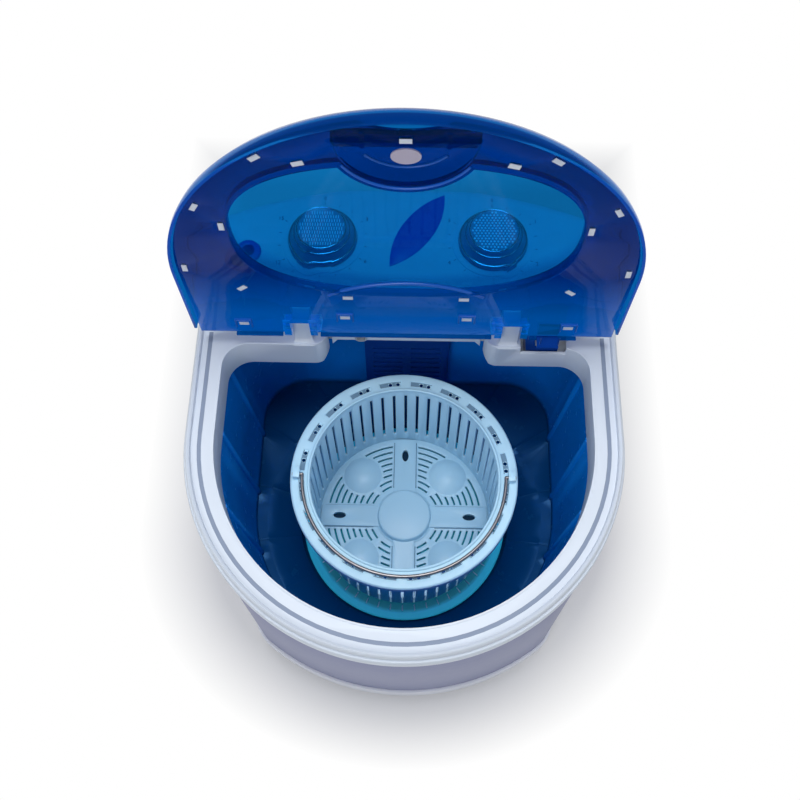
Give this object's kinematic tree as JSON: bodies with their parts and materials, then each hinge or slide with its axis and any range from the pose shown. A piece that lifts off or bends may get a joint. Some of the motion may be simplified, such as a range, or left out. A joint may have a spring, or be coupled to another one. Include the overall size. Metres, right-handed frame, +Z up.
{
  "type": "semi-automatic washing machine",
  "caption": "Small single-tub washing machine with a lift-out slotted spin basket, a hinged clear lid, two timer knobs and a tapered cabinet.",
  "frame": {"origin": "on the floor, in the middle of the body's width and depth", "axes": "+Z up, +Y from the rounded front to the console at the back, +X to the right seen from the front"},
  "size_m": [0.37, 0.4274, 0.79],
  "materials": {
    "black_rubber": "moulded rubber",
    "white_plastic": "moulded plastic",
    "lavender_plastic": "moulded plastic with a soft sheen",
    "grip_plastic": "moulded plastic",
    "cover_plastic": "moulded plastic",
    "screw_steel": "zinc plated",
    "frame_plastic": "glossy moulded plastic",
    "console_plastic": "glossy moulded plastic",
    "panel_plastic": "printed sheet",
    "inlay_plastic": "glossy inlay",
    "dial_print": "printed ring with plain numbers",
    "timer_plastic": "moulded plastic",
    "shaft_steel": "ground steel",
    "wash_knob_plastic": "glossy blue",
    "spin_knob_plastic": "glossy blue",
    "inlet_plastic": "glossy moulded plastic",
    "pipe_plastic": "moulded plastic",
    "tub_plastic": "deep blue moulded plastic",
    "filter_plastic": "dark blue moulded plastic",
    "seal_rubber": "moulded rubber",
    "cast_aluminium": "die cast",
    "bearing_steel": "sealed bearing",
    "painted_steel": "painted",
    "motor_aluminium": "painted shell",
    "pulley_plastic": "glass-filled plastic",
    "belt_rubber": "belt",
    "capacitor_plastic": "moulded case",
    "black_plastic": "moulded plastic",
    "clear_blue_cover": "clear blue, glossy",
    "clear_blue_frame": "clear deep blue, glossy",
    "clip_plastic": "moulded plastic",
    "tongue_plastic": "moulded plastic",
    "pad_plastic": "pale pad",
    "cyan_plastic": "glossy moulded plastic",
    "cap_plastic": "moulded plastic",
    "basket_plastic": "pale blue moulded plastic",
    "rim_plastic": "pale blue moulded plastic",
    "wire_steel": "plated wire"
  },
  "bodies": {
    "machine": {"rubber_feet": "black_rubber", "base_tray": "white_plastic", "cabinet": "lavender_plastic", "side_grips": "grip_plastic", "service_cover": "cover_plastic", "cover_screws": "screw_steel", "top_frame": "frame_plastic", "console_housing": "console_plastic", "control_panel": "panel_plastic", "leaf_inlay": "inlay_plastic", "wash_dial": "dial_print", "spin_dial": "dial_print", "wash_timer": "timer_plastic", "spin_timer": "timer_plastic", "inlet_socket": "inlet_plastic", "inlet_pipe": "pipe_plastic", "wash_tub": "tub_plastic", "tub_floor": "tub_plastic", "filter_panel": "filter_plastic", "tub_seal": "seal_rubber", "bearing_housing": "cast_aluminium", "bearings": "bearing_steel", "drive_frame": "painted_steel", "frame_bolts": "screw_steel", "motor": "motor_aluminium", "motor_mounts": "seal_rubber", "drive_belt": "belt_rubber", "capacitor": "capacitor_plastic", "drain_pipe": "pipe_plastic", "cord_gland": "black_plastic", "lid_switch": "black_plastic", "hinge_pins": "shaft_steel"},
    "lid": {"lid_cover": "clear_blue_cover", "lid_frame": "clear_blue_frame", "lid_clips": "clip_plastic", "lid_tongue": "tongue_plastic", "grip_pad": "pad_plastic"},
    "pulsator": {"pulsator": "cyan_plastic", "pulsator_cap": "cap_plastic", "spin_shaft": "shaft_steel", "drive_pulley": "pulley_plastic", "pulley_nut": "screw_steel"},
    "basket": {"basket_wall": "basket_plastic", "basket_floor": "basket_plastic", "basket_rim": "rim_plastic", "bail_clips": "clip_plastic"},
    "bail": {"bail_handle": "wire_steel"},
    "motor_rotor": {"motor_shaft": "shaft_steel", "motor_pulley": "pulley_plastic"},
    "wash_knob": {"wash_knob": "wash_knob_plastic", "wash_timer_shaft": "shaft_steel"},
    "spin_knob": {"spin_knob": "spin_knob_plastic", "spin_timer_shaft": "shaft_steel"},
    "switch_plunger": {"switch_plunger": "white_plastic"}
  },
  "joints": [
    {"name": "lid_hinge", "type": "hinge", "parent": "machine", "child": "lid", "pos_m": [0, 0.07, 0.514], "axis": [1, 0, 0], "range_deg": [0, 90]},
    {"name": "pulsator_spin", "type": "hinge", "parent": "machine", "child": "pulsator", "pos_m": [0, -0.036, 0.28], "axis": [0, 0, 1], "continuous": true},
    {"name": "motor_spin", "type": "hinge", "parent": "machine", "child": "motor_rotor", "pos_m": [0, 0.07, 0.15], "axis": [0, 0, 1], "continuous": true},
    {"name": "basket_lift", "type": "slide", "parent": "pulsator", "child": "basket", "axis": [0, 0, 1], "range_m": [0, 0.072]},
    {"name": "bail_hinge", "type": "hinge", "parent": "basket", "child": "bail", "pos_m": [0, -0.036, 0.4168], "axis": [-1, 0, 0], "range_deg": [0, 178]},
    {"name": "wash_knob_turn", "type": "hinge", "parent": "machine", "child": "wash_knob", "pos_m": [-0.075, 0.146, 0.524], "axis": [0, 0, -1], "range_deg": [0, 300]},
    {"name": "spin_knob_turn", "type": "hinge", "parent": "machine", "child": "spin_knob", "pos_m": [0.075, 0.146, 0.524], "axis": [0, 0, -1], "range_deg": [0, 300]},
    {"name": "lid_switch_press", "type": "slide", "parent": "machine", "child": "switch_plunger", "axis": [0, 0, -1], "range_m": [0, 0.0025], "stiffness_N_per_m": 100, "springref_m": -0.002}
  ],
  "couplings": [
    {"joint": "motor_spin", "follows": "pulsator_spin", "ratio": 3.2632}
  ]
}
